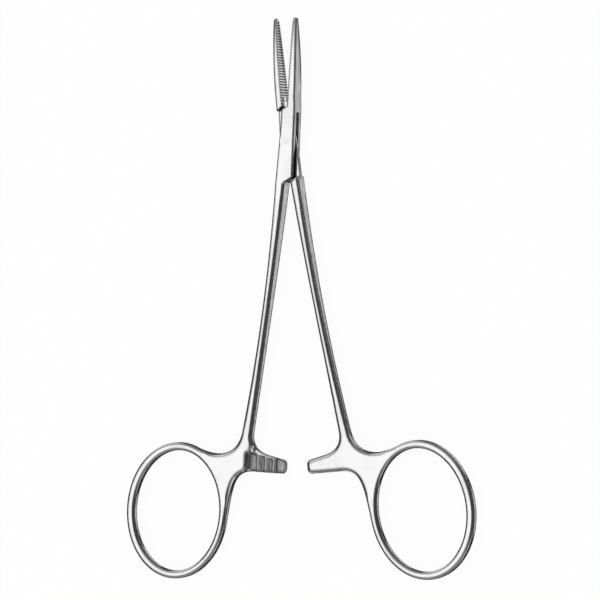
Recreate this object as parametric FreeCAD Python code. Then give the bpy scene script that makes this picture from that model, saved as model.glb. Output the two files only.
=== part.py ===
import FreeCAD, Part
import os
from math import cos, pi, radians, sin, sqrt, tan
from FreeCAD import Vector

# Micro mosquito forceps with a box lock, lying flat, slightly open.
# Millimetres. X to the right, Y towards the jaw tips, Z up.
# The origin is on the pivot axis, level with the underside of the lock.
# Each half is drawn closed, with its inner edge near X = 0, and then turned open.

# Lock
lock_thickness = 3.7
cheek_width = 1.92           # from the middle line to the cheek's outer edge on the jaw's side
cheek_corner = 1.4           # from the middle line to the cheek's narrow upper corner
cheek_fullness = 5.5         # reach of the curve from that corner to the shank, at both ends
shoulder_slope = 32.0        # degrees, of the slanted steps above and below the lock
shoulder_above = 7.7         # from the pivot to the upper step, on the middle line
shoulder_below = 9.1         # from the pivot to the lower step, on the middle line
upper_gap = 0.1              # between the upper steps of the two halves when closed
lower_gap = 0.22             # the same, between the lower steps
lock_foot = 1.0              # from the lower step to where the cheeks end in the shank
lock_taper = 4.5             # from the pivot to where the cheeks start to thin towards the shank
edge_radius = 0.28           # of the outer edges of the jaws and the lock
tongue_thickness = 0.95
running_gap = 0.05           # each side of the tongue in its slot
tongue_width = 2.0           # from the middle line to the tongue's edge, level with the pivot
tongue_above = 6.5           # radius of the tongue's hidden upper corner
tongue_below = 7.1           # radius of its hidden lower corner
tongue_upper_inset = 0.3     # from the cheek's edge in to the upper corner
tongue_lower_inset = 0.25    # from the cheek's edge in to the lower corner
tongue_taper = 0.1           # the tongue is narrower than the shank by this much where it leaves the lock
tongue_root = 2.0            # how far the tongue runs on inside the jaw
shank_root = 4.5             # how far the shank's outline runs on inside the lock
end_gap = 0.12               # between the hidden corners and the ends of the slot
pin_radius = 0.8
pin_gap = 0.05               # between the pin and the hole in the tongue

# Jaws
jaw_tip = 27.45              # from the pivot to the tips
jaw_foot = 1.65              # width of the jaw on the tongue, at the upper step
jaw_swell = 1.58             # width above the lock, of the jaw on the tongue
cheek_jaw_swell = 1.75       # the same, of the jaw on the cheeks
jaw_swell_height = 10.5      # from the pivot to that place
jaw_thinning = 8.3           # from the pivot to where the jaws start to thin
jaw_tip_width = 0.93
jaw_tip_thickness = 0.95
jaw_tip_radius = 0.35
jaw_tip_slope = 3.6          # degrees, of the outer edge near the tip
jaw_tip_fall = 10.0          # degrees, of the upper and lower faces at the tip
jaw_flat = 6.8               # reach of the upper and lower faces' curve at its lower end
jaw_curve = 5.0              # its reach at the tip
jaw_bow = 0.12               # the faces are hollow by this much, so the tips meet first
jaw_gap = 0.05               # between the closed faces
tooth_pitch = 0.6
tooth_depth = 0.24
tooth_start = 8.3            # from the pivot to the first tooth
tooth_end = 0.7              # plain end of the face beyond the last tooth

# Shanks, at four even places from the lock to the handle
shank_end = 65.0             # from the pivot to the start of the handle web
shank_places = (1.19, 2.72, 4.77, 7.23)   # middle of the shank, from the middle line
shank_widths = (2.1, 1.64, 1.74, 2.46)
shank_thinning = (12.0, 22.0)             # fullness of the curve from the lock's thickness to the handle's
handle_thickness = 2.45      # of the web, the ring and both ratchet bars together
handle_radius = 0.8          # of the long edges of the handle
shank_radius = 0.6           # of the same edges beside the lock

# Finger rings
ring_centre_x = 24.35
ring_centre_y = -83.9
ring_half_width = 10.7       # of the opening
ring_half_height = 13.6      # of the opening
ring_bar = 1.78              # at the ring's top and bottom
ring_opening_shift = 0.15    # of the opening towards the middle line; the bar is thicker outside
ring_tilt = 4.2              # degrees, the tops lean together
ring_web_above = 15.0        # degrees from the ring's top to where the web leaves it
ring_web_below = 95.0        # the same, on the side of the ratchet bar
web_outer_reach = (6.8, 4.2)      # fullness of the web's edge from shank to ring, at its ends
web_lower_reach = (8.5, 5.2)      # the same, from ring to ratchet bar
web_inner_reach = (2.7, 3.2)      # the same, from ratchet bar to shank

# Ratchet bars
bar_bottom = 73.95           # from the pivot to the bar's lower edge
bar_start = 5.6              # from the middle line to where that edge becomes straight
bar_neck = 1.9               # the same, for the upper edge
bar_tip_width = 3.0
bar_reach = 2.45             # how far each bar crosses the middle line when closed
bar_slope = 11.5             # degrees, of the bar's upper edge
bar_corner = 1.1             # radius of the corners of the bar's end
bar_rim = 0.6                # plain rim along the bar's upper edge
step_place = 7.6             # from the middle line to the step from web to bar
step_radius = 1.1
step_lean = 15.0             # degrees, of that step
ratchet_gap = 0.08           # from the tooth crests to the middle plane
ratchet_pitch = 1.95
ratchet_depth = 0.5
ratchet_first = 1.05         # crest nearest the bar's end, from the middle line
ratchet_count = 3
ratchet_land = 0.28
ratchet_pocket = 2.3         # length of the pocket behind the last tooth

rest_opening = 8.26          # degrees between the halves as they lie

middle = lock_thickness / 2
rise = tan(radians(shoulder_slope))
joint = -(shoulder_below + lock_foot)
shank_top = joint + shank_root
far = 200.0                          # beyond the forceps, for cutting


def point(x, y, z=0.0):
    return Vector(x, y, z)


def heading(degrees):
    return Vector(cos(radians(degrees)), sin(radians(degrees)), 0)


def line(a, b):
    return Part.LineSegment(a, b).toShape()


def chain(*points):
    """Straight edges from point to point."""
    return [line(a, b) for a, b in zip(points, points[1:])]


def corner_arc(start, centre, end):
    """Arc about a centre, the short way from start to end."""
    outwards = (start - centre) + (end - centre)
    halfway = centre + outwards * ((start - centre).Length / outwards.Length)
    return Part.Arc(start, halfway, end).toShape()


def blend(start, leaving, reach, end, arriving, end_reach):
    """Smooth curve with the given directions and reaches at its two ends."""
    curve = Part.BezierCurve()
    curve.setPoles([start, start + leaving * (reach / leaving.Length),
                    end - arriving * (end_reach / arriving.Length), end])
    return curve.toShape()


def direction_at(curve, parameter):
    return curve.tangent(parameter)[0]


def plate(edges, low, high):
    """Solid between two levels, inside a closed outline."""
    face = Part.Face(Part.Wire(Part.__sortEdges__(edges)))
    face.translate(Vector(0, 0, low))
    return face.extrude(Vector(0, 0, high - low))


def polygon(points, low, high):
    return plate(chain(*points, points[0]), low, high)


def side_view(upper_edges, start_level, end_level, start_y, end_y):
    """Solid that is wide in X, between an upper curve and its mirror image below."""
    lower_edges = [edge.mirror(Vector(0, 0, middle), Vector(0, 0, 1)) for edge in upper_edges]
    ends = [line(point(0, y, middle - level), point(0, y, middle + level))
            for y, level in ((start_y, start_level), (end_y, end_level))]
    face = Part.Face(Part.Wire(Part.__sortEdges__(upper_edges + lower_edges + ends)))
    face.translate(Vector(-far, 0, 0))
    return face.extrude(Vector(2 * far, 0, 0))


def rounded(shape, radii_of):
    """Round each edge for which radii_of gives a radius for its two ends."""
    document = FreeCAD.newDocument("rounding")
    base = document.addObject("Part::Feature", "Base")
    base.Shape = shape
    fillet = document.addObject("Part::Fillet", "Rounded")
    fillet.Base = base
    chosen = []
    for number, edge in enumerate(shape.Edges, 1):
        radii = radii_of(edge)
        if radii:
            chosen.append((number, radii[0], radii[1]))
    fillet.Edges = chosen
    document.recompute()
    result = fillet.Shape.copy()
    FreeCAD.closeDocument(document.Name)
    return result


def turned_over(shape):
    """The same forging turned about the Y axis, as the other half has it."""
    copy = shape.copy()
    copy.rotate(Vector(0, 0, middle), Vector(0, 1, 0), 180)
    return copy


def middle_of(edge):
    return edge.valueAt((edge.FirstParameter + edge.LastParameter) / 2)


def is_upright(edge):
    ends = [vertex.Point for vertex in edge.Vertexes]
    return len(ends) == 2 and abs(ends[0].x - ends[1].x) + abs(ends[0].y - ends[1].y) < 1e-4


def is_level_at(edge, y):
    return all(abs(vertex.Point.y - y) < 1e-4 for vertex in edge.Vertexes)


def shoulder(x, on_middle_line):
    """Y of a slanted shoulder line that crosses the middle line at the given Y."""
    return on_middle_line + x * rise


def beyond_shoulder(on_middle_line, side):
    """Everything above (side 1) or below (side -1) a shoulder line."""
    near = [point(x, shoulder(x, on_middle_line)) for x in (-far, far)]
    away = [point(corner.x, side * 2 * far) for corner in reversed(near)]
    return polygon(near + away, -far, far)


# Shank, handle web, finger ring and ratchet bar: one forging, drawn on the right.
def ring_ellipse(margin, shift=0):
    centre = point(ring_centre_x - shift, ring_centre_y)
    up = heading(90 + ring_tilt) * (ring_half_height + margin)
    left = heading(180 + ring_tilt) * (ring_half_width + margin)
    return Part.Ellipse(centre + up, centre + left, centre)


def shank_side(side):
    """Outer (1) or inner (-1) edge of the shank, as a smooth curve."""
    length = -shank_end - joint
    curve = Part.BSplineCurve()
    curve.interpolate([point(place + side * width / 2, joint + length * share)
                       for place, width, share in zip(shank_places, shank_widths, (0, 1/3, 2/3, 1))])
    return curve


def bar_end():
    """Edges round the free end of the bar, from its lower to its upper straight edge."""
    lower = point(bar_corner - bar_reach, -bar_bottom)
    first_centre = lower + point(0, bar_corner)
    slope = heading(bar_slope)
    upper_line = -bar_bottom + bar_tip_width + bar_corner * tan(radians(bar_slope))
    second_centre = point(first_centre.x, upper_line - bar_corner / cos(radians(bar_slope)))
    upper = second_centre + heading(90 + bar_slope) * bar_corner
    left = point(-bar_corner, 0)
    neck = upper + slope * ((bar_neck - upper.x) / slope.x)
    edges = [corner_arc(lower, first_centre, first_centre + left)]
    if second_centre.y > first_centre.y:
        edges.append(line(first_centre + left, second_centre + left))
    edges += [corner_arc(second_centre + left, second_centre, upper), line(upper, neck)]
    return edges, lower, neck


def handle_outline():
    outer, inner = shank_side(1), shank_side(-1)
    ring = ring_ellipse(ring_bar)
    leave, rejoin = radians(ring_web_above), radians(ring_web_below)
    edges = [outer.toShape(), inner.toShape()]
    tops = []
    for curve in (outer, inner):
        start, down = curve.StartPoint, direction_at(curve, curve.FirstParameter)
        tops.append(start + down * ((shank_top - joint) / down.y))
        edges.append(line(tops[-1], start))
    edges.append(line(*tops))
    edges.append(blend(outer.EndPoint, direction_at(outer, outer.LastParameter), web_outer_reach[0],
                       ring.value(leave), direction_at(ring, leave) * -1, web_outer_reach[1]))
    edges.append(Part.ArcOfEllipse(ring, rejoin, leave + 2 * pi).toShape())
    bar_edges, lower, neck = bar_end()
    start = point(bar_start, -bar_bottom)
    edges.append(blend(ring.value(rejoin), direction_at(ring, rejoin) * -1, web_lower_reach[0],
                       start, heading(180), web_lower_reach[1]))
    edges.append(line(start, lower))
    edges += bar_edges
    edges.append(blend(neck, heading(bar_slope), web_inner_reach[0],
                       inner.EndPoint, direction_at(inner, inner.LastParameter) * -1, web_inner_reach[1]))
    return edges


def handle_side_view():
    """The lock's full thickness, thinning along the shank to the handle's."""
    half = handle_thickness / 2
    start, end = point(0, -lock_taper, lock_thickness), point(0, -shank_end, middle + half)
    down = point(0, -1)
    upper = [line(point(0, far, lock_thickness), start),
             blend(start, down, shank_thinning[0], end, down, shank_thinning[1]),
             line(end, point(0, -far, middle + half))]
    return side_view(upper, middle, half, far, -far)


def shank_middle(y):
    """X of the middle of the shank at a height, by straight interpolation."""
    share = min(max((y - joint) / (-shank_end - joint), 0), 1) * 3
    index = min(int(share), 2)
    return shank_places[index] + (shank_places[index + 1] - shank_places[index]) * (share - index)


def handle_radii(edge, outer_start):
    """Full radius on the handle, growing to it along the shank, on the outer side from a given start."""
    if is_upright(edge) or any(is_level_at(edge, y) for y in (shank_top, joint, -shank_end)):
        return None
    place = middle_of(edge)
    if place.y < -shank_end:
        return handle_radius, handle_radius
    start = shank_radius if place.x < shank_middle(place.y) else outer_start
    shares = [max((vertex.Point.y - joint) / (-shank_end - joint), 0) for vertex in edge.Vertexes]
    return tuple(start + (handle_radius - start) * share for share in shares)


def ratchet_cutter():
    """Space under the bar: the step from the web, and the teeth that face the other bar."""
    crest = middle + ratchet_gap
    root = step_place - step_radius
    edges = chain(point(root, 0, crest), point(-far, 0, crest), point(-far, 0), point(step_place, 0),
                  point(step_place, 0, crest - step_radius))
    centre = point(root, 0, crest - step_radius)
    halfway = centre + Vector(sin(pi / 4), 0, cos(pi / 4)) * step_radius
    edges.append(Part.Arc(point(root, 0, crest), halfway,
                          point(step_place, 0, crest - step_radius)).toShape())
    face = Part.Face(Part.Wire(Part.__sortEdges__(edges)))
    below_bar = -bar_bottom - bar_tip_width
    face.translate(Vector(0, below_bar, 0))
    step = face.extrude(Vector(0, far, 0))
    step.rotate(point(step_place, -bar_bottom), Vector(0, 0, 1), step_lean)
    teeth = [tooth_space(number, crest) for number in range(ratchet_count + 1)]
    return step, teeth


def tooth_space(number, crest):
    """Sawtooth space: steep on the side of the bar's end, rising towards the next crest."""
    steep = ratchet_first + (number - 1) * ratchet_pitch
    top = steep + ratchet_pitch - ratchet_land
    floor = crest + ratchet_depth
    if number == 0:
        corners = [(top, crest), (steep + ratchet_land, floor), (-far, floor), (-far, crest)]
    elif number == ratchet_count:
        corners = [(steep, crest), (steep, floor), (steep + ratchet_pocket - ratchet_depth, floor),
                   (steep + ratchet_pocket, crest)]
    else:
        corners = [(steep, crest), (steep, floor), (top, crest)]
    corners = [point(x, 0, z) for x, z in corners]
    below = [point(corners[-1].x, 0), point(corners[0].x, 0)]
    face = Part.Face(Part.Wire(chain(*corners, *below, corners[0])))
    face.translate(Vector(0, -bar_bottom - bar_tip_width, 0))
    return face.extrude(Vector(0, far, 0))


def rim_limit():
    """Everything below the plain rim along the bar's upper edge."""
    at_end = -bar_bottom + bar_tip_width - bar_rim / cos(radians(bar_slope))
    slope = tan(radians(bar_slope))
    ends = [point(x, at_end + slope * (x + bar_reach)) for x in (-far, far)]
    return polygon(ends + [point(far, -far), point(-far, -far)], -far, far)


def handle_forging(outer_start):
    blank = plate(handle_outline(), 0, lock_thickness).common(handle_side_view())
    opening = Part.Face(Part.Wire(ring_ellipse(0, ring_opening_shift).toShape()))
    opening = opening.extrude(Vector(0, 0, lock_thickness))
    blank = blank.cut(opening)
    blank = rounded(blank, lambda edge: handle_radii(edge, outer_start))
    step, teeth = ratchet_cutter()
    blank = blank.cut(step)
    limit = rim_limit()
    for space in teeth:
        blank = blank.cut(space.common(limit))
    return blank


# Jaws and lock
def bow(y):
    """How far a jaw's face lies back from the middle line."""
    root = shoulder_above
    along = (y - root) / (jaw_tip - root)
    return jaw_bow * max(0, 1 - (2 * along - 1) ** 2)


def toothed_plate(side, root):
    """Everything on one jaw's side of its toothed face, and everything below its root.

    The teeth of the two jaws run side by side, crest in groove.
    """
    half_gap = jaw_gap / 2
    last = jaw_tip - tooth_end
    tooth_count = int((last - tooth_start) / tooth_pitch)
    first = last - tooth_count * tooth_pitch
    corners = [point(side * far, far), point(side * far, -far), point(-side * far, -far),
               point(-side * far, root), point(side * half_gap, root),
               point(side * (half_gap + bow(first)), first)]
    for number in range(2 * tooth_count):
        y = first + (2 * number + 1) * tooth_pitch / 4
        wave = (-1 if number % 2 == 0 else 1) * tooth_depth / 2
        corners.append(point(side * (half_gap + bow(y)) + wave, y))
    corners += [point(side * (half_gap + bow(last)), last),
                point(side * half_gap, jaw_tip - jaw_tip_radius), point(side * half_gap, far)]
    return polygon(corners, -far, far)


def jaw_block(side, root, root_width, swell_width):
    """Solid with one jaw's outline, from a root level up to the tip, thick enough for its teeth."""
    half_gap = jaw_gap / 2

    def across(x, y):
        return point(side * x, y)

    corner = jaw_tip - jaw_tip_radius
    last = jaw_tip - tooth_end
    inner = [across(half_gap, root), across(-tooth_depth, root), across(-tooth_depth, last),
             across(half_gap, last), across(half_gap, corner)]
    outer_corner = across(jaw_tip_width, corner)
    swell = across(swell_width, jaw_swell_height)
    foot = across(root_width, root)
    first_centre = across(half_gap + jaw_tip_radius, corner)
    second_centre = across(jaw_tip_width - jaw_tip_radius, corner)
    up = point(0, jaw_tip_radius)
    down = across(tan(radians(jaw_tip_slope)), -1)
    edges = chain(*inner)
    edges.append(corner_arc(inner[-1], first_centre, first_centre + up))
    edges.append(line(first_centre + up, second_centre + up))
    edges.append(corner_arc(second_centre + up, second_centre, outer_corner))
    reach = (jaw_tip - jaw_swell_height) / 3
    edges.append(blend(outer_corner, down, reach, swell, point(0, -1), reach))
    reach = (jaw_swell_height - root) / 3
    edges.append(blend(swell, point(0, -1), reach, foot, point(0, -1), reach))
    edges.append(line(foot, inner[0]))
    return plate(edges, 0, lock_thickness)


def jaw_side_view():
    half = jaw_tip_thickness / 2
    start, end = point(0, jaw_thinning, lock_thickness), point(0, jaw_tip, middle + half)
    fall = Vector(0, cos(radians(jaw_tip_fall)), -sin(radians(jaw_tip_fall)))
    upper = [line(point(0, -far, lock_thickness), start),
             blend(start, point(0, 1), jaw_flat, end, fall, jaw_curve)]
    return side_view(upper, middle, half, -far, jaw_tip)


def cheek_outline():
    """The boxed half's cheek, from its shoulders to the shank, on the left of the jaw."""
    shank = shank_side(1)
    start, along = shank.StartPoint, direction_at(shank, shank.FirstParameter)
    side = point(-start.x, start.y)
    corner = point(-cheek_corner, shoulder(-cheek_corner, shoulder_above))
    inner = point(jaw_gap / 2, shoulder(jaw_gap / 2, shoulder_above))
    edges = chain(corner, inner, point(cheek_width, inner.y),
                  point(cheek_width, shoulder(cheek_width, -shoulder_below)),
                  point((joint + shoulder_below) / rise, joint), side)
    edges.append(blend(corner, point(0, -1), cheek_fullness,
                       side, point(-along.x, along.y), cheek_fullness))
    return edges


def slot_plate(low, high):
    """Space for the tongue: open on both sides, closed by round ends at two corners."""
    wall = jaw_gap / 2
    above, below = tongue_above + end_gap, tongue_below + end_gap
    inner = shank_places[0] - shank_widths[0] / 2
    top = point(wall, sqrt(above ** 2 - wall ** 2))
    bottom = point(-inner, -sqrt(below ** 2 - inner ** 2))
    edges = [corner_arc(top, point(0, 0), point(above, 0)),
             corner_arc(bottom, point(0, 0), point(-below, 0))]
    edges += chain(point(above, 0), point(far, 0), point(far, -far), point(-inner, -far), bottom)
    edges += chain(point(-below, 0), point(-far, 0), point(-far, far), point(wall, far), top)
    return plate(edges, low, high)


def tongue_outline():
    """The tongue's outline, rooted in the jaw above and in the shank below."""
    inner = shank_places[0] - shank_widths[0] / 2 + running_gap
    outer = shank_places[0] + shank_widths[0] / 2
    wall = jaw_gap / 2
    upper_right, lower_left = cheek_width - tongue_upper_inset, cheek_width - tongue_lower_inset
    right = point(upper_right, sqrt(tongue_above ** 2 - upper_right ** 2))
    left = point(-lower_left, -sqrt(tongue_below ** 2 - lower_left ** 2))
    top = point(-wall, sqrt(tongue_above ** 2 - wall ** 2))
    bottom = point(inner, -sqrt(tongue_below ** 2 - inner ** 2))
    root = shoulder_above + tongue_root
    edges = [corner_arc(top, point(0, 0), right), corner_arc(bottom, point(0, 0), left)]
    edges += chain(right, point(outer - tongue_taper, shank_top),
                   point(outer, joint), point(inner, joint), bottom)
    edges += chain(left, point(-tongue_width, 0), point(-jaw_foot, shoulder_above),
                   point(-jaw_foot, root), point(-wall, root), top)
    return edges


def pivot_hole(radius):
    return Part.makeCylinder(radius, lock_thickness, point(0, 0))


def is_outer_edge(edge):
    """The long outer edges and the tip; toothed faces, shoulders and seams stay sharp."""
    if is_upright(edge):
        return False
    places = [vertex.Point for vertex in edge.Vertexes] + [middle_of(edge)]
    heights = [place.y for place in places]
    on_tip = min(heights) > jaw_tip - jaw_tip_radius - 1e-4
    along = max(heights) - min(heights) > edge_radius
    outside = min(abs(place.x) for place in places) > jaw_tip_width - 1e-4
    return on_tip or (along and outside)


def with_broken_edges(shape):
    return shape.makeFillet(edge_radius, [edge for edge in shape.Edges if is_outer_edge(edge)])


def box_half():
    """The half with the slotted lock: left handle, right jaw."""
    root = shoulder(jaw_gap / 2, shoulder_above)
    jaw = jaw_block(1, root, cheek_width, cheek_jaw_swell)
    block = jaw.fuse(plate(cheek_outline(), 0, lock_thickness)).removeSplitter()
    block = with_broken_edges(block.common(jaw_side_view()).common(handle_side_view()))
    block = block.common(toothed_plate(1, root))
    handle = turned_over(handle_forging(edge_radius))
    low_corner = point((joint + shoulder_below) / rise, joint)
    above = polygon([point(-far, joint), low_corner, point(far, shoulder(far, -shoulder_below)),
                     point(far, 2 * far), point(-far, 2 * far)], -far, far)
    half = block.fuse(handle.cut(above))
    slot = tongue_thickness / 2 + running_gap
    half = half.cut(slot_plate(middle - slot, middle + slot))
    half = half.cut(pivot_hole(pin_radius))
    half.rotate(point(0, 0), Vector(0, 0, 1), -rest_opening / 2)
    return half


def insert_half():
    """The half with the tongue: right handle, left jaw."""
    square = cos(radians(shoulder_slope))
    jaw = with_broken_edges(jaw_block(-1, 0, jaw_foot, jaw_swell).common(jaw_side_view()))
    jaw = jaw.common(toothed_plate(-1, 0))
    jaw = jaw.common(beyond_shoulder(shoulder_above + upper_gap / square, 1))
    shank = handle_forging(shank_radius).common(beyond_shoulder(-shoulder_below - lower_gap / square, -1))
    tongue = plate(tongue_outline(), middle - tongue_thickness / 2, middle + tongue_thickness / 2)
    half = tongue.fuse([jaw, shank])
    half = half.cut(pivot_hole(pin_radius + pin_gap))
    half.rotate(point(0, 0), Vector(0, 0, 1), rest_opening / 2)
    return half


def pivot_pin():
    """Rivet through both cheeks and the tongue, ground flush."""
    return pivot_hole(pin_radius)


os.makedirs("parts", exist_ok=True)
for name, make in (("box_half", box_half), ("insert_half", insert_half), ("pivot_pin", pivot_pin)):
    shape = make()
    solids = shape.Solids
    state = "valid" if shape.isValid() else "NOT VALID"
    print(name, len(solids), "solid", round(shape.Volume, 2), "mm3", state)
    result = solids[0] if len(solids) == 1 else shape
    result.exportStep("parts/" + name + ".step")
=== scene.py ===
import bpy, bmesh
from math import cos, radians, sin
from mathutils import Matrix, Vector

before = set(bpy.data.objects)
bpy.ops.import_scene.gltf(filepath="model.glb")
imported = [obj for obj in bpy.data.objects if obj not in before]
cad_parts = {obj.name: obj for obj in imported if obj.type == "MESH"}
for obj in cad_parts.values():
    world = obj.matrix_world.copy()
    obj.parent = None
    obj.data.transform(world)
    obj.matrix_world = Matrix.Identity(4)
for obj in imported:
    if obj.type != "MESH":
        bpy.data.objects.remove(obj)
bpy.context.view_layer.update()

# camera at the photo's angle, worked out from the two finger rings, in degrees and metres
view = {
    "turn": 25.96,                  # to the right of the flat face
    "roll": 1.449,
    "distance": 0.9626,
    "aim": (0.00243, -0.03526),     # of the picture's centre, from the pivot
    "fieldOfView": 7.916,
    "midLevel": 0.00185,            # half the height of the lock
    "nearest": 0.05,                # distance at which the camera starts to see
}

def makeCamera(settings):
    turn, roll = radians(settings["turn"]), radians(settings["roll"])
    sideways = Vector((cos(turn), 0, -sin(turn)))
    back = Vector((sin(turn), 0, cos(turn)))
    upright = Vector((0, 1, 0))
    right = sideways * cos(roll) - upright * sin(roll)
    up = sideways * sin(roll) + upright * cos(roll)
    place = right * settings["aim"][0] + up * settings["aim"][1] + back * settings["distance"]
    place.z += settings["midLevel"]
    data = bpy.data.cameras.new("camera")
    data.sensor_fit = "HORIZONTAL"
    data.angle = radians(settings["fieldOfView"])
    data.clip_start = settings["nearest"]
    camera = bpy.data.objects.new("camera", data)
    camera.matrix_world = Matrix.Translation(place) @ Matrix((right, up, back)).transposed().to_4x4()
    bpy.context.scene.collection.objects.link(camera)
    bpy.context.scene.camera = camera

makeCamera(view)
bpy.context.scene.view_settings.view_transform = "Standard"
print("camera set")

# a fixed value, or another node's output, into a socket
def feed(tree, socket, value):
    if isinstance(value, bpy.types.NodeSocket):
        tree.links.new(value, socket)
    else:
        socket.default_value = value

def addNode(tree, kind, settings=None, inputs=None):
    node = tree.nodes.new(kind)
    for name, value in (settings or {}).items():
        setattr(node, name, value)
    for name, value in (inputs or {}).items():
        feed(tree, node.inputs[name], value)
    return node

def calculate(tree, operation, *values):
    return addNode(tree, "ShaderNodeMath", {"operation": operation}, dict(enumerate(values))).outputs[0]

def calculateVector(tree, operation, *vectors):
    node = addNode(tree, "ShaderNodeVectorMath", {"operation": operation}, dict(enumerate(vectors)))
    return node.outputs["Value" if operation in ("LENGTH", "DOT_PRODUCT") else "Vector"]

def smoothRamp(tree, source, low, high, bottom=0, top=1):
    ramp = addNode(tree, "ShaderNodeMapRange", {"interpolation_type": "SMOOTHSTEP"}, {
        "Value": source, "From Min": low, "From Max": high, "To Min": bottom, "To Max": top})
    return ramp.outputs["Result"]

def mixed(tree, kind, share, first, second):
    node = addNode(tree, "ShaderNodeMix", {"data_type": kind}, {"Factor": share, "A": first, "B": second})
    return node.outputs["Result"]

def mixedShader(tree, share, first, second):
    return addNode(tree, "ShaderNodeMixShader", inputs={0: share, 1: first, 2: second}).outputs[0]

def axesOf(tree, vector):
    return addNode(tree, "ShaderNodeSeparateXYZ", inputs={0: vector}).outputs

def objectPlace(tree):
    return tree.nodes.new("ShaderNodeTexCoord").outputs["Object"]

def surfaceNormal(tree, kind="Normal"):
    return tree.nodes.new("ShaderNodeNewGeometry").outputs[kind]

# noise over the object, drawn out along its length where the stretch is under 1
def drawnNoise(tree, scale, stretch, detail, roughness=0.5):
    drawn = addNode(tree, "ShaderNodeMapping", inputs={"Vector": objectPlace(tree), "Scale": (1, stretch, 1)})
    noise = addNode(tree, "ShaderNodeTexNoise", inputs={
        "Vector": drawn.outputs[0], "Scale": scale, "Detail": detail, "Roughness": roughness})
    return noise.outputs["Fac"]

def newGroup(name, inputNames, outputNames):
    tree = bpy.data.node_groups.new(name, "ShaderNodeTree")
    for direction, socketNames in (("INPUT", inputNames), ("OUTPUT", outputNames)):
        for socketName in socketNames:
            tree.interface.new_socket(socketName, in_out=direction, socket_type="NodeSocketFloat")
    return tree, tree.nodes.new("NodeGroupInput").outputs, tree.nodes.new("NodeGroupOutput").inputs

def useGroup(tree, group, inputs=None):
    return addNode(tree, "ShaderNodeGroup", {"node_tree": group}, inputs).outputs

# painted shade where the metal closes in on itself: slot, tongue gap, teeth and ratchet
creviceShadeRays = 12

def creviceShadeGroup(rays):
    tree, given, result = newGroup("creviceShade", ("Reach", "Open", "Closed"), ("Mask",))
    occlusion = addNode(tree, "ShaderNodeAmbientOcclusion", {"samples": rays}, {"Distance": given["Reach"]})
    closeness = calculate(tree, "SUBTRACT", 1, occlusion.outputs["AO"])
    tree.links.new(smoothRamp(tree, closeness, given["Open"], given["Closed"]), result["Mask"])
    return tree

# painted shade: a dark line low on the sides, where they turn under towards the table
undersideShade = {
    "handleStart": -0.065, "lockEnd": -0.0045, "handleLevel": 0.000625,      # metres along Y, and up
    "jawStart": 0.0083, "jawTip": 0.02745, "tipLevel": 0.001375,
    "fadeStart": 0.85,            # share of the line's height above which it fades
    "sideSlope": (0.5, 0.3),      # upward part of the normal where a side starts and is full
}

def undersideShadeGroup(settings):
    tree, given, result = newGroup("undersideShade", ("Rim",), ("Mask",))
    axes = axesOf(tree, objectPlace(tree))
    handle = smoothRamp(tree, axes["Y"], settings["lockEnd"], settings["handleStart"],
                        0, settings["handleLevel"])
    jaw = smoothRamp(tree, axes["Y"], settings["jawStart"], settings["jawTip"], 0, settings["tipLevel"])
    height = calculate(tree, "SUBTRACT", axes["Z"], calculate(tree, "ADD", handle, jaw))
    line = smoothRamp(tree, calculate(tree, "DIVIDE", height, given["Rim"]), 1, settings["fadeStart"])
    onSide = smoothRamp(tree, axesOf(tree, surfaceNormal(tree))["Z"], *settings["sideSlope"])
    tree.links.new(calculate(tree, "MULTIPLY", line, onSide), result["Mask"])
    return tree

# fine lines of the last polish, lengthwise, and slow changes in gloss
polishGrain = {
    "lineStretch": 0.06, "lineDetail": 3, "lineRoughness": 0.6,
    "cloudDetail": 2,
}

def polishGroup(settings):
    tree, given, result = newGroup("polish", ("Line Scale", "Cloud Scale"), ("Lines", "Clouds"))
    lines = drawnNoise(tree, given["Line Scale"], settings["lineStretch"], settings["lineDetail"],
                       settings["lineRoughness"])
    tree.links.new(lines, result["Lines"])
    tree.links.new(drawnNoise(tree, given["Cloud Scale"], 1, settings["cloudDetail"]), result["Clouds"])
    return tree

# upright sides: painted shade on them, streaked with the lengthwise grain of the grinding belt
sideShadeAndBeltGrain = {
    "sideSlope": (0.6, 0.3),          # upward part of the normal where a side starts and is full
    "stretch": 0.02, "detail": 2,
    "spread": (0.35, 0.65), "strength": (0.6, 1.35),      # of the noise, and of the lines made from it
}

def sideShadeAndBeltGroup(settings):
    tree, given, result = newGroup("sideShadeAndBelt", ("Line Scale",), ("Mask", "Lines"))
    level = calculate(tree, "ABSOLUTE", axesOf(tree, surfaceNormal(tree))["Z"])
    lines = drawnNoise(tree, given["Line Scale"], settings["stretch"], settings["detail"])
    tree.links.new(smoothRamp(tree, level, *settings["sideSlope"]), result["Mask"])
    tree.links.new(smoothRamp(tree, lines, *settings["spread"], *settings["strength"]), result["Lines"])
    return tree

# round the pivot, where the pin is ground flush and shows no edge
def flushPinGroup():
    tree, given, result = newGroup("flushPin", ("Radius",), ("Mask",))
    fromAxis = calculateVector(tree, "MULTIPLY", objectPlace(tree), (1, 1, 0))
    distance = calculateVector(tree, "LENGTH", fromAxis)
    tree.links.new(calculate(tree, "LESS_THAN", distance, given["Radius"]), result["Mask"])
    return tree

# floors of the ratchet's cells, milled and duller than the polish round them, and painted darker grey as
# shade in the pockets
ratchet = {
    "X": (-0.0145, -0.0018), "Y": (-0.080, -0.069), "Z": (0.0011, 0.00174),      # box that holds the floors
    "floorSlope": 0.8,              # upward part of a floor's normal is more than this
    "stretch": 0.05, "detail": 2,
}

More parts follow.
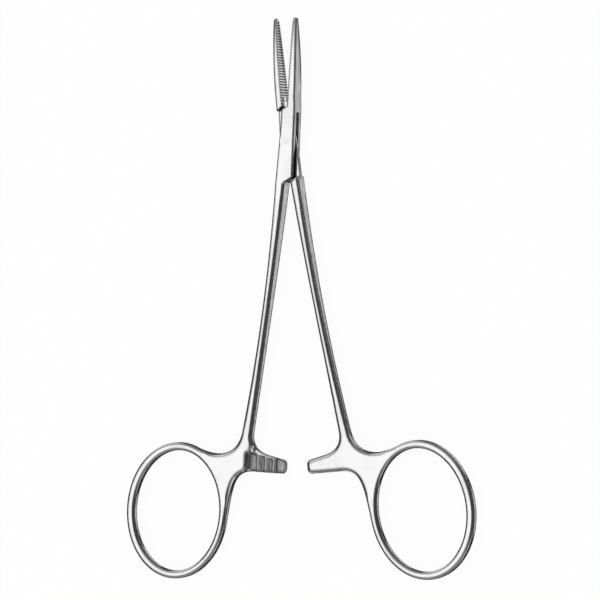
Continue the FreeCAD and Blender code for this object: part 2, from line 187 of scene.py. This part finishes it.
def milledAndShadedGroup(settings):
    tree, given, result = newGroup("milledAndShaded", ("Line Scale",), ("Mask", "Lines"))
    axes = axesOf(tree, objectPlace(tree))
    level = axesOf(tree, surfaceNormal(tree, "True Normal"))["Z"]
    mask = calculate(tree, "GREATER_THAN", level, settings["floorSlope"])
    for axis in "XYZ":
        low, high = settings[axis]
        mask = calculate(tree, "MULTIPLY", mask, calculate(tree, "GREATER_THAN", axes[axis], low))
        mask = calculate(tree, "MULTIPLY", mask, calculate(tree, "LESS_THAN", axes[axis], high))
    tree.links.new(mask, result["Mask"])
    lines = drawnNoise(tree, given["Line Scale"], settings["stretch"], settings["detail"])
    tree.links.new(lines, result["Lines"])
    return tree

# masks of the forging's own places, each of which the polishing wheel wears in its own way, and each with its
# own share of painted shade
placeNames = ("Shank", "Web", "Ring", "Teeth")
places = {
    "lockEnd": -0.009, "shankStart": -0.013, "shankEnd": -0.064, "webStart": -0.067,      # along Y
    "ringAcross": 0.03033, "ringAlong": -0.08193, "ringTilt": 8.33,       # centre of each finger ring
    "ringWide": 0.0116, "ringHigh": 0.0145,       # half axes of the ring's bar, along its middle
    "ringBar": 0.075, "ringClear": 0.11,          # share of those axes that the bar takes up
    "jawStart": 0.0074, "jawSlope": 0.0722,       # of the two serrated faces
    "toothDepth": 0.00034, "toothSlope": 0.5,     # upward part of a tooth's normal is less than this
}

# distance from the middle of the nearer ring's bar, as a share of the ring's half axes
def offRingBar(tree, across, along, settings):
    tilt = radians(settings["ringTilt"])
    turns = {"ringWide": (cos(tilt), sin(tilt)), "ringHigh": (-sin(tilt), cos(tilt))}
    squares = []
    for size, (acrossShare, alongShare) in turns.items():
        turned = calculate(tree, "ADD", calculate(tree, "MULTIPLY", across, acrossShare),
                           calculate(tree, "MULTIPLY", along, alongShare))
        squares.append(calculate(tree, "POWER", calculate(tree, "DIVIDE", turned, settings[size]), 2))
    fromCentre = calculate(tree, "SQRT", calculate(tree, "ADD", *squares))
    return calculate(tree, "ABSOLUTE", calculate(tree, "SUBTRACT", fromCentre, 1))

# mask of the teeth, which stand upright within their own depth of the jaws' faces
def onTeeth(tree, sideways, length, settings):
    jawLine = calculate(tree, "MULTIPLY", length, settings["jawSlope"])
    depth = calculate(tree, "SUBTRACT", sideways, jawLine)
    inside = calculate(tree, "LESS_THAN", depth, settings["toothDepth"])
    onJaw = calculate(tree, "GREATER_THAN", length, settings["jawStart"])
    level = calculate(tree, "ABSOLUTE", axesOf(tree, surfaceNormal(tree, "True Normal"))["Z"])
    upright = calculate(tree, "LESS_THAN", level, settings["toothSlope"])
    return calculate(tree, "MULTIPLY", calculate(tree, "MULTIPLY", inside, onJaw), upright)

def placesGroup(settings):
    tree, noInputs, result = newGroup("places", (), placeNames)
    axes = axesOf(tree, objectPlace(tree))
    length, sideways = axes["Y"], calculate(tree, "ABSOLUTE", axes["X"])
    across = calculate(tree, "SUBTRACT", sideways, settings["ringAcross"])
    along = calculate(tree, "SUBTRACT", length, settings["ringAlong"])
    offBar = offRingBar(tree, across, along, settings)
    masks = (
        smoothRamp(tree, length, settings["lockEnd"], settings["shankStart"]),
        smoothRamp(tree, length, settings["shankEnd"], settings["webStart"]),
        smoothRamp(tree, offBar, settings["ringClear"], settings["ringBar"]),
        onTeeth(tree, sideways, length, settings),
    )
    for name, mask in zip(placeNames, masks):
        tree.links.new(mask, result[name])
    return tree

# value for the lock and jaws, changed in turn for the shank, web, ring and teeth
def byPlace(tree, where, values):
    value = values[0]
    for name, target in zip(placeNames, values[1:]):
        change = calculate(tree, "MULTIPLY", where[name], calculate(tree, "SUBTRACT", target, value))
        value = calculate(tree, "ADD", value, change)
    return value

creviceShade, undersideShadeLine = creviceShadeGroup(creviceShadeRays), undersideShadeGroup(undersideShade)
polish, sideShadeAndBelt = polishGroup(polishGrain), sideShadeAndBeltGroup(sideShadeAndBeltGrain)
flushPin, milledAndShaded, whereabouts = flushPinGroup(), milledAndShadedGroup(ratchet), placesGroup(places)
print("shared effects of the steel done")

forgingFinish = {
    "colour": (0.94, 0.94, 0.945, 1), "cloudedColour": (0.86, 0.86, 0.865, 1),
    "smoothest": 0.06, "dullest": 0.13,
    "cloudScale": 160, "colourSpread": (0.4, 0.65), "glossSpread": (0.35, 0.65),
    "lineScale": 9000, "lineStrength": 0.12, "lineDepth": 0.000012,
    "paintedShadeColour": (0.02, 0.02, 0.021, 1),         # of the painted shade: in crevices, in the line under the sides, and on the sides along the belt lines
    "wideReach": 0.0009, "wideOpen": 0.17, "wideClosed": 0.5,         # painted shade in the slot and the ratchet pockets
    "fineReach": 0.0003, "fineOpen": 0.42, "fineClosed": 0.72,        # painted shade between the teeth
    "beltLines": 5000,
    # painted shade on the floors of the ratchet's pockets, streaked by the milling lines
    "pocketShadeDark": (0.40, 0.40, 0.40, 1), "pocketShadeLight": (0.66, 0.66, 0.66, 1),
    "milledLines": 4500, "milledSpread": (0.35, 0.65), "milledRoughness": 0.4,
    "edgeRays": 8,                # that look round each point for an edge to soften
    "pinArea": 0.0014,            # radius round the pivot in which no edge softens
    # by place: lock and jaws, shank, web, ring, teeth
    "rim": (0.0006, 0.00095, 0.0009, 0.0009, 0.0004),         # height of the painted shade line under the sides
    "edge": (0.0006, 0.0009, 0.0011, 0.0005, 0.0001),         # radius over which edges soften
    "fullness": (1, 0.7, 1, 0.45, 1),                         # of the rounded backs, 1 as forged
    "sideShade": (0.5, 0.5, 0.45, 0.6, 0),                     # painted shade on the upright sides, streaked with belt grain
}
pinFinish = dict(forgingFinish, colour=(0.86, 0.86, 0.87, 1), smoothest=0.10, dullest=0.18)

# share of painted shade on the steel, the most that any of its masks gives
def paintedShadeShare(tree, settings, where):
    # painted shade low on the sides, as a dark line towards the table
    under = useGroup(tree, undersideShadeLine, {"Rim": byPlace(tree, where, settings["rim"])})
    belt = useGroup(tree, sideShadeAndBelt, {"Line Scale": settings["beltLines"]})
    # painted shade on the upright sides, streaked by the belt lines
    sideShade = calculate(tree, "MULTIPLY", belt["Mask"], byPlace(tree, where, settings["sideShade"]))
    dark = calculate(tree, "MAXIMUM", under["Mask"], calculate(tree, "MULTIPLY", sideShade, belt["Lines"]))
    for size in ("wide", "fine"):
        gap = useGroup(tree, creviceShade, {name: settings[size + name] for name in ("Reach", "Open", "Closed")})
        dark = calculate(tree, "MAXIMUM", dark, gap["Mask"])
    return dark

def steelColour(tree, settings, where, marks, cells):
    clouded = smoothRamp(tree, marks["Clouds"], *settings["colourSpread"])
    polished = mixed(tree, "RGBA", clouded, settings["colour"], settings["cloudedColour"])
    # painted shade in the ratchet's pockets: darker grey floors, streaked by the milling lines
    cutLines = smoothRamp(tree, cells["Lines"], *settings["milledSpread"])
    pocketShade = mixed(tree, "RGBA", cutLines, settings["pocketShadeDark"], settings["pocketShadeLight"])
    clean = mixed(tree, "RGBA", cells["Mask"], polished, pocketShade)
    return mixed(tree, "RGBA", paintedShadeShare(tree, settings, where), clean, settings["paintedShadeColour"])

def steelRoughness(tree, settings, marks, cells):
    low, high = settings["glossSpread"]
    polished = addNode(tree, "ShaderNodeMapRange", inputs={
        "Value": marks["Clouds"], "From Min": low, "From Max": high,
        "To Min": settings["smoothest"], "To Max": settings["dullest"]})
    return mixed(tree, "FLOAT", cells["Mask"], polished.outputs["Result"], settings["milledRoughness"])

def steelNormal(tree, settings, where, marks):
    radius = byPlace(tree, where, settings["edge"])
    edges = addNode(tree, "ShaderNodeBevel", {"samples": settings["edgeRays"]}, {"Radius": radius})
    nearPin = useGroup(tree, flushPin, {"Radius": settings["pinArea"]})
    softened = mixed(tree, "VECTOR", nearPin["Mask"], edges.outputs["Normal"], surfaceNormal(tree))
    fullness = byPlace(tree, where, settings["fullness"])
    scale = addNode(tree, "ShaderNodeCombineXYZ", inputs={"X": fullness, "Y": fullness, "Z": 1})
    flattened = calculateVector(tree, "MULTIPLY", softened, scale.outputs[0])
    bump = addNode(tree, "ShaderNodeBump", inputs={
        "Strength": settings["lineStrength"], "Distance": settings["lineDepth"],
        "Height": marks["Lines"], "Normal": calculateVector(tree, "NORMALIZE", flattened)})
    return bump.outputs["Normal"]

# polished steel, with painted shade in its colour: in crevices, low on the sides, on the upright sides and in
# the ratchet's pockets
def steelMaterial(name, settings):
    material = bpy.data.materials.new(name)
    material.use_nodes = True
    tree = material.node_tree
    where = useGroup(tree, whereabouts)
    scales = {"Line Scale": settings["lineScale"], "Cloud Scale": settings["cloudScale"]}
    marks = useGroup(tree, polish, scales)
    cells = useGroup(tree, milledAndShaded, {"Line Scale": settings["milledLines"]})
    steel = tree.nodes["Principled BSDF"].inputs
    feed(tree, steel["Metallic"], 1)
    feed(tree, steel["Base Color"], steelColour(tree, settings, where, marks, cells))
    feed(tree, steel["Roughness"], steelRoughness(tree, settings, marks, cells))
    feed(tree, steel["Normal"], steelNormal(tree, settings, where, marks))
    return material

finishes = {
    "box_half": steelMaterial("polishedForging", forgingFinish),
    "insert_half": steelMaterial("polishedTongueForging", forgingFinish),
    "pivot_pin": steelMaterial("groundPin", pinFinish),
}
for name, finish in finishes.items():
    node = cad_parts[name]
    node.data.materials.clear()
    node.data.materials.append(finish)
print("finish of the forceps done")

plainWhite = (1, 1, 1, 1)

# white sheet that the forceps lie on, which their steel doesn't mirror
sheet = {
    "half": 1.2,
    "gap": 0.0002,            # below the lock's flat face
    "colour": (0.9, 0.9, 0.9, 1),
    "roughness": 1, "shine": 0,
    "glow": 0.94,             # share of plain white that keeps the sheet white, the rest takes the shadow
}

def sheetMaterial(settings):
    material = bpy.data.materials.new("floorWhite")
    material.use_nodes = True
    tree = material.node_tree
    matt = tree.nodes["Principled BSDF"]
    feed(tree, matt.inputs["Base Color"], settings["colour"])
    feed(tree, matt.inputs["Roughness"], settings["roughness"])
    feed(tree, matt.inputs["Specular IOR Level"], settings["shine"])
    rays = tree.nodes.new("ShaderNodeLightPath").outputs
    glow = addNode(tree, "ShaderNodeEmission", inputs={"Color": plainWhite, "Strength": 1})
    clear = tree.nodes.new("ShaderNodeBsdfTransparent")
    white = mixedShader(tree, settings["glow"], matt.outputs[0], glow.outputs[0])
    toCamera = mixedShader(tree, rays["Is Camera Ray"], matt.outputs[0], white)
    toAll = mixedShader(tree, rays["Is Glossy Ray"], toCamera, clear.outputs[0])
    feed(tree, tree.nodes["Material Output"].inputs["Surface"], toAll)
    return material

def makeFloor(settings):
    plane = bmesh.new()
    bmesh.ops.create_grid(plane, x_segments=1, y_segments=1, size=settings["half"])
    bmesh.ops.translate(plane, verts=plane.verts, vec=(0, 0, -settings["gap"]))
    mesh = bpy.data.meshes.new("floor")
    plane.to_mesh(mesh)
    plane.free()
    mesh.materials.append(sheetMaterial(settings))
    floor = bpy.data.objects.new("floor", mesh)
    bpy.context.scene.collection.objects.link(floor)

makeFloor(sheet)
print("floor done")

# a white tent with dark flags round its sides, so that polished edges are outlined
tent = {
    "fillLevel": 1,           # of the even light on everything but polished steel
    "flagLevel": 0.045,       # of the dark flags between the windows
    # each window: direction, how near to it the light starts and is full (cosines), level
    "windows": [
        ((-0.36, 0, 0.93), 0.91, 0.993, 1),            # overhead, seen in the flat faces
        ((0.47, -0.04, -0.88), 0.95, 0.985, 0.9),      # seen in the upright sides
        ((0.03, 0.44, -0.9), 0.95, 0.98, 1),           # seen in the upper flanks of the teeth
        ((0.66, 0.66, -0.34), 0.90, 0.97, 0.7),        # low, back right
        ((-0.66, -0.66, -0.34), 0.90, 0.97, 0.7),      # low, front left
        ((-0.2, 0.6, 0.77), 0.80, 0.95, 0.22),         # dim, towards the back
        ((-0.2, -0.6, 0.77), 0.80, 0.95, 0.22),        # dim, towards the front
        ((0.68, -0.68, 0.26), 0.90, 0.98, 0.8),        # a little up, front right
        ((-0.64, 0.64, 0.42), 0.90, 0.98, 0.7),        # a little up, back left
    ],
    "bandLevel": 0.85, "bandLeft": 0.1,           # light band at eye level, and its share on the left
    "bandHeight": (0.10, 0.055), "bandTurn": (-0.4, 0.1),         # where it starts and is full, up and across
}

# level of the light band, fading to the flags above and below it
def eyeLevelBand(tree, direction, settings):
    axes = axesOf(tree, direction)
    start, full = settings["bandHeight"]
    above = smoothRamp(tree, axes["Z"], start, full, settings["flagLevel"], settings["bandLevel"])
    below = smoothRamp(tree, axes["Z"], -start, -full, settings["flagLevel"], 1)
    left = smoothRamp(tree, axes["X"], *settings["bandTurn"], settings["bandLeft"], 1)
    return calculate(tree, "MULTIPLY", calculate(tree, "MULTIPLY", above, below), left)

def makeWorld(settings):
    world = bpy.data.worlds.new("studio")
    bpy.context.scene.world = world
    world.use_nodes = True
    tree = world.node_tree
    direction = tree.nodes.new("ShaderNodeTexCoord").outputs["Generated"]
    level = eyeLevelBand(tree, direction, settings)
    for place, start, full, brightness in settings["windows"]:
        nearness = calculateVector(tree, "DOT_PRODUCT", direction, Vector(place).normalized())
        window = smoothRamp(tree, nearness, start, full, settings["flagLevel"], brightness)
        level = calculate(tree, "MAXIMUM", level, window)
    plain = tree.nodes["Background"]
    feed(tree, plain.inputs["Color"], plainWhite)
    feed(tree, plain.inputs["Strength"], settings["fillLevel"])
    flagged = addNode(tree, "ShaderNodeBackground", inputs={"Color": plainWhite, "Strength": level})
    white = addNode(tree, "ShaderNodeBackground", inputs={"Color": plainWhite, "Strength": 1})
    rays = tree.nodes.new("ShaderNodeLightPath").outputs
    forMetal = mixedShader(tree, rays["Is Glossy Ray"], plain.outputs[0], flagged.outputs[0])
    forCamera = mixedShader(tree, rays["Is Camera Ray"], forMetal, white.outputs[0])
    feed(tree, tree.nodes["World Output"].inputs["Surface"], forCamera)

makeWorld(tent)
print("light done")
